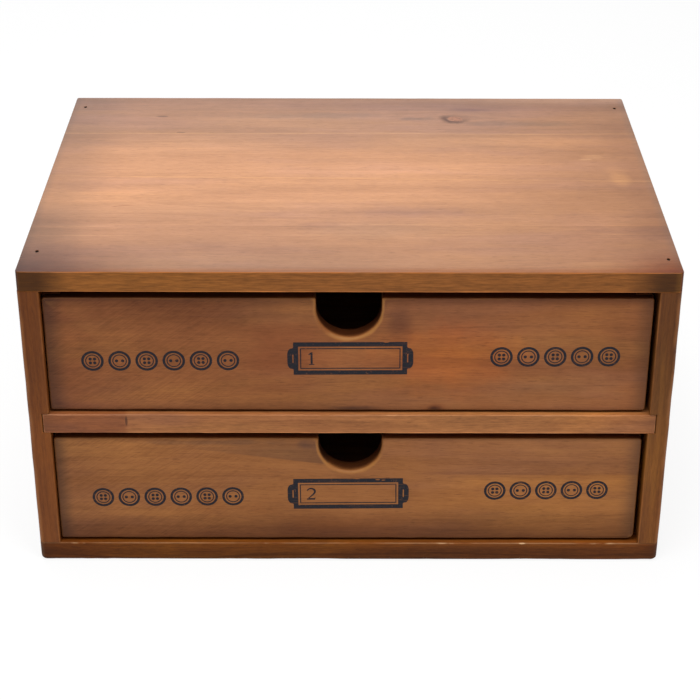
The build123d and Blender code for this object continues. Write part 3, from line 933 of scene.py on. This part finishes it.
def frontLook(drawer):
    low, high = boxOf(drawer + "_front")
    middle, half = (low + high) / 2, (high - low) / 2
    # painted shade near the front's edges: darker at the ends beside the side boards, and along the top and
    # bottom by the gaps
    edge = ((0, middle[0], half[0], 7, 0.4), (2, middle[2], half[2], 3, 0.5))
    return {**woodLook, "arris": (0.36, 0.15, 0.04), "arrisShow": 0.25, "edge": edge, "pith": (-30, 100),
            "fibre": 0.55, "rings": 0.14, "bands": 0.5, "drift": 0.35, "shine": 0.18, **frontLooks[drawer]}


def addFront(drawer):
    low, high = boxOf(drawer + "_front")
    place = drawerFronts[drawer]
    radius = frontBoard["notchRadius"]
    left, right = place["notchX"] - radius, place["notchX"] + radius
    bottom, corner, shoulder = place["notchZ"] - radius, frontBoard["corner"], frontBoard["shoulder"]
    corners = [(low[0], low[2]), (high[0], low[2]), (high[0], high[2]), (right, high[2]),
               (right, bottom), (left, bottom), (left, high[2]), (low[0], high[2])]
    radii = [corner, place["footCorner"], corner, shoulder, radius, radius, shoulder, corner]
    outline = traceOutline(corners, radii, None, frontBoard["step"])
    front, back = (frontBoard["rim"],) * 4, (frontBoard["back"],) * 4
    sideLow, sideHigh = boxOf(drawer + "_left_side")
    shoulderY = low[1] + frontBoard["lap"]
    stations = evenly(low[1] + 1.2, high[1] - 0.4, frontBoard["layers"], [shoulderY, shoulderY + 0.001])
    width = sideHigh[0] - sideLow[0]
    board = {**frontBoard, "seed": place["seed"], "notch": (place["notchX"], place["notchZ"]),
             "rebates": ((-1, low[0] + width, shoulderY), (1, high[0] - width, shoulderY))}
    wood = woodMaterial(drawer + "FrontWood", **frontLook(drawer))
    buildBoard(drawer + "_front_board", outline, 1, low[1], high[1], (front, back), stations,
               board, wood, drawer)


for drawer in drawerFronts:
    addFront(drawer)
print("drawer fronts built")

# The remaining boards keep their CAD shapes: drawer sides, backs and bottoms, back panel.
innerLook = dict(light=(0.33, 0.14, 0.065), dark=(0.2, 0.08, 0.035), rough=(0.55, 0.7), bump=0.25)
plyLook = dict(light=(0.36, 0.16, 0.075), dark=(0.24, 0.1, 0.045), rough=(0.55, 0.7), bands=1.2, bump=0.2)


def dressNode(node, material):
    mesh = nodes[node].data
    mesh.materials.clear()
    mesh.materials.append(material)


def steelMaterial():
    graph = MaterialGraph("bradSteel")
    stain = graph.noise(graph.place(), (0.8, 0.8, 0.8), 3.0)
    colour = graph.blend((0.02, 0.014, 0.011), (0.11, 0.09, 0.08), stain.fade(0.45, 0.7))
    return graph.finish({"Metallic": 1.0}, {"Base Color": colour, "Roughness": 0.4 + stain * 0.3})


steel = steelMaterial()
sideWood = woodMaterial("drawerSideWood", grain="y", seed=(12, 88, 140), **innerLook)
backWood = woodMaterial("drawerBackWood", grain="x", seed=(212, 188, 40), **innerLook)
bottomPly = woodMaterial("drawerPly", grain="x", seed=(77, 18, 4), **plyLook)
backPly = woodMaterial("backPly", grain="x", seed=(5, 118, 64), **{**plyLook, "light": (0.3, 0.125, 0.055)})
for drawer in drawerFronts:
    for side in ("_left_side", "_right_side"):
        dressNode(drawer + side, sideWood)
    dressNode(drawer + "_back", backWood)
    dressNode(drawer + "_bottom", bottomPly)
dressNode("back_panel", backPly)
for node in nodes:
    if node.endswith(("_brads", "_pins")):
        dressNode(node, steel)
print("inner boards and brads dressed")

# Print on the fronts: flat outlines, filled, a few hundredths of a millimetre thick.
printFilm = {"thickness": 0.05, "ink": (0.010, 0.010, 0.015), "thinInk": (0.019, 0.018, 0.023),
             "rough": 0.55, "shine": 0.14}
labelFrame = {"width": 52.4, "height": 17.0, "border": 2.25, "gap": 0.85, "line": 0.5,
              "earReach": 2.8, "earHeight": 10.6, "earRound": 3.4, "earHollow": (0.99, 0.66),
              "slotOut": 0.2, "slotWidth": 0.55, "slotHeight": 4.4, "numberPlace": (-17.8, -3.3),
              "numberHeight": 6.6}
buttonRow = {"diameter": 10.4, "ring": 1.2, "hem": 1.85, "hemLine": 0.5, "holeRadius": 0.78,
             "holeReach": 1.42}
prints = {  # a row is its left and right end, its count and its height; worn are its bare spots
    "upper_drawer": {"label": (0.39, 110.9), "number": 1, "left": (-123.5, -50.7, 6, 110.1),
                     "right": (64.7, 124.5, 5, 111.3), "turn": 0.0066,
                     "worn": (((17.0, 119.4), (2.0, 0.3)),)},
    "lower_drawer": {"label": (-0.48, 37.0), "number": 2, "left": (-123.1, -50.5, 6, 35.9),
                     "right": (64.5, 123.8, 5, 38.1), "turn": 0.010,
                     "worn": (((13.5, 45.0), (1.3, 0.35)), ((16.4, 44.7), (1.0, 0.3)),
                              ((3.0, 45.4), (3.4, 0.2)))},
}


def circle(middle, radius, steps=40):  # middle + radius (cos a, sin a)
    angles = np.linspace(0, 2 * math.pi, steps, endpoint=False)
    return np.array(middle) + radius * np.stack([np.cos(angles), np.sin(angles)], 1)


def rectangle(middle, width, height, corner=0.12):
    x = middle[0] + width / 2 * np.array([-1, 1, 1, -1])
    y = middle[1] + height / 2 * np.array([-1, -1, 1, 1])
    return traceOutline(np.stack([x, y], 1), [corner] * 4)["points"]


# The label frame's outer edge: a rectangle with an ear at each end. From the side the ear
# starts with a small hollow quarter circle and swells to a larger round one.
def frameEdge(middle):
    look = labelFrame
    half, tall = look["width"] / 2, look["height"] / 2
    angles = np.linspace(0, math.pi / 2, 9)
    (neck, rise), swell = look["earHollow"], look["earRound"]
    earTop, reach = look["earHeight"] / 2, look["earReach"]
    hollowArc = np.stack([half + neck * (1 - np.cos(angles)), earTop + rise * (1 - np.sin(angles))], 1)
    swellArc = np.stack([half + neck + (reach - neck) * np.sin(angles),
                         earTop - swell * (1 - np.cos(angles))], 1)
    quarter = np.vstack([[(0, tall), (half, tall)], hollowArc, swellArc, [(half + reach, 0)]])
    below = quarter[::-1][1:] * (1, -1)
    rightHalf = np.vstack([quarter, below])
    leftHalf = rightHalf[::-1][1:-1] * (-1, 1)
    return np.vstack([rightHalf, leftHalf])[::-1] + np.array(middle)


# A stroke is its middle line moved to both sides by half the pen's width at each point.
def stroke(line, widths):
    line = np.array(line, float)
    run = np.gradient(line, axis=0)
    side = np.stack([-run[:, 1], run[:, 0]], 1) / np.linalg.norm(run, axis=1)[:, None]
    half = np.array(widths)[:, None] / 2
    return np.vstack([line + side * half, (line - side * half)[::-1]])


# The 1 is one outline. The 2 is a stroke, an arc and a curved tail, with a separate foot.
def numeral(number, foot, height):
    x, y = foot
    if number == 1:
        stem, serif, thick = 0.95, 2.5, 0.42
        corners = [(-serif / 2, 0), (serif / 2, 0), (serif / 2, thick), (stem / 2, thick),
                   (stem / 2, height), (-stem * 0.25, height), (-1.45, height - 1.05),
                   (-1.35, height - 1.45), (-stem / 2, height - 1.05), (-stem / 2, thick),
                   (-serif / 2, thick)]
        return [np.array(corners) + (x, y)]
    bowl = height * 0.27
    angles = np.linspace(math.radians(165), math.radians(-35), 16)
    arc = np.stack([bowl * 1.05 * np.cos(angles), height - bowl + bowl * np.sin(angles) * 0.96 - 0.2], 1)
    drop = np.linspace(0, 1, 8)[1:, None]
    bend, tip = np.array([0.2, height * 0.3]), np.array([-1.75, 0.45])
    tail = arc[-1] * (1 - drop) ** 2 + bend * 2 * drop * (1 - drop) + tip * drop ** 2
    line = np.vstack([arc, tail])
    share = np.linspace(0, 1, len(line))
    widths = np.interp(share, [0, 0.12, 0.5, 0.75, 1], [0.5, 0.6, 1.05, 0.75, 0.4])
    footBar = np.array([(-2.0, 0), (1.85, 0), (2.1, 1.35), (1.85, 1.35), (1.6, 0.85),
                        (-1.2, 0.85), (-2.0, 0.5)])
    return [stroke(line, widths) + (x, y), footBar + (x, y)]


def button(middle, holes):  # ring, fine inner line and thread holes
    look, radius = buttonRow, buttonRow["diameter"] / 2
    edges = [circle(middle, radius), circle(middle, radius - look["ring"]),
             circle(middle, radius - look["hem"]), circle(middle, radius - look["hem"] - look["hemLine"])]
    angles = math.pi / 4 + np.arange(4) * math.pi / 2 if holes == 4 else np.array([0, math.pi])
    for angle in angles:
        spot = np.array(middle) + look["holeReach"] * np.array([math.cos(angle), math.sin(angle)])
        edges.append(circle(spot, look["holeRadius"], 16))
    return edges


def labelEdges(middle, number):
    look = labelFrame
    edges = [frameEdge(middle)]
    width, height = look["width"] - 2 * look["border"], look["height"] - 2 * look["border"]
    for inset in (0, look["gap"], look["gap"] + look["line"]):
        edges.append(rectangle(middle, width - 2 * inset, height - 2 * inset))
    for side in (-1, 1):
        x = middle[0] + side * (look["width"] / 2 + look["slotOut"])
        edges.append(rectangle((x, middle[1]), look["slotWidth"], look["slotHeight"], 0.25))
    foot = np.array(middle) + look["numberPlace"]
    return edges, numeral(number, foot, look["numberHeight"])


def rowEdges(left, right, count, height):
    radius = buttonRow["diameter"] / 2
    places = np.linspace(left + radius, right - radius, count)
    holes = (4, 2)  # in turn along the row
    return [edge for k, x in enumerate(places) for edge in button((x, height), holes[k % 2])]


def filledMesh(name, edges):  # a filled flat curve, made a mesh
    curve = bpy.data.curves.new(name, "CURVE")
    curve.dimensions, curve.fill_mode = "2D", "BOTH"
    curve.extrude = printFilm["thickness"] / 2000
    for edge in edges:
        spline = curve.splines.new("POLY")
        spline.points.add(len(edge) - 1)
        flat = np.concatenate([edge / 1000, np.zeros((len(edge), 1)), np.ones((len(edge), 1))], 1)
        spline.points.foreach_set("co", flat.ravel())
        spline.use_cyclic_u = True
    holder = addObject(name, curve)
    bpy.context.view_layer.update()
    mesh = bpy.data.meshes.new_from_object(holder)
    bpy.data.objects.remove(holder)
    return mesh


def inkMaterial(drawer):
    look = frontLook(drawer)
    graph = MaterialGraph(drawer + "Ink")
    spot = graph.place()
    colour, relief, fibres = woodColour(graph, spot, look)[:3]
    flecks = graph.noise(spot, (1.1, 1.1, 1.1), 3.0, 0.65)
    thin = flecks.fade(0.60, 0.74) * 0.5 + (1 - fibres.fade(0.25, 0.42)) * 0.35
    for middle, halves in prints[drawer]["worn"]:
        far = ellipse(graph, spot, (0, 2), middle, halves, 0.7, 0.5)
        thin = thin.atLeast(1 - far.fade(0.5, 0.9))
    ink = graph.blend(printFilm["ink"], printFilm["thinInk"], flecks)
    colour = graph.blend(ink, colour, thin.atMost(1.0))
    return graph.finish({"Roughness": printFilm["rough"], "Specular IOR Level": printFilm["shine"]},
                        {"Base Color": colour, "Normal": relief})


def addPrint(drawer):
    low, high = boxOf(drawer + "_front")
    place = prints[drawer]
    frameEdges, numberEdges = labelEdges(place["label"], place["number"])
    pieces = {"label_print": [frameEdges, numberEdges],
              "button_print": [rowEdges(*place["left"]), rowEdges(*place["right"])]}
    ink = inkMaterial(drawer)
    for key, groups in pieces.items():
        shape = bmesh.new()
        for k, edges in enumerate(groups):
            part = filledMesh(f"{drawer}_{key}_{k}", edges)
            shape.from_mesh(part)
            bpy.data.meshes.remove(part)
        bmesh.ops.remove_doubles(shape, verts=shape.verts, dist=1e-6)
        bmesh.ops.recalc_face_normals(shape, faces=shape.faces)
        middle = (low + high) / 2000
        upright = Matrix.Rotation(math.pi / 2, 4, "X")
        turn = Matrix.Rotation(-place["turn"], 4, "Y")
        lean = Matrix.Translation(middle) @ turn @ Matrix.Translation(-middle)
        proud = Matrix.Translation((0, low[1] / 1000 - printFilm["thickness"] / 4000, 0))
        bmesh.ops.transform(shape, matrix=lean @ proud @ upright, verts=shape.verts)
        mesh = bpy.data.meshes.new(f"{drawer}_{key}")
        shape.to_mesh(mesh)
        shape.free()
        mesh.materials.append(ink)
        made = addObject(f"{drawer}_{key}", mesh)
        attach(made, drawer)


for drawer in prints:
    addPrint(drawer)
print("print laid on the fronts")

bpy.context.scene.view_settings.view_transform = "Standard"
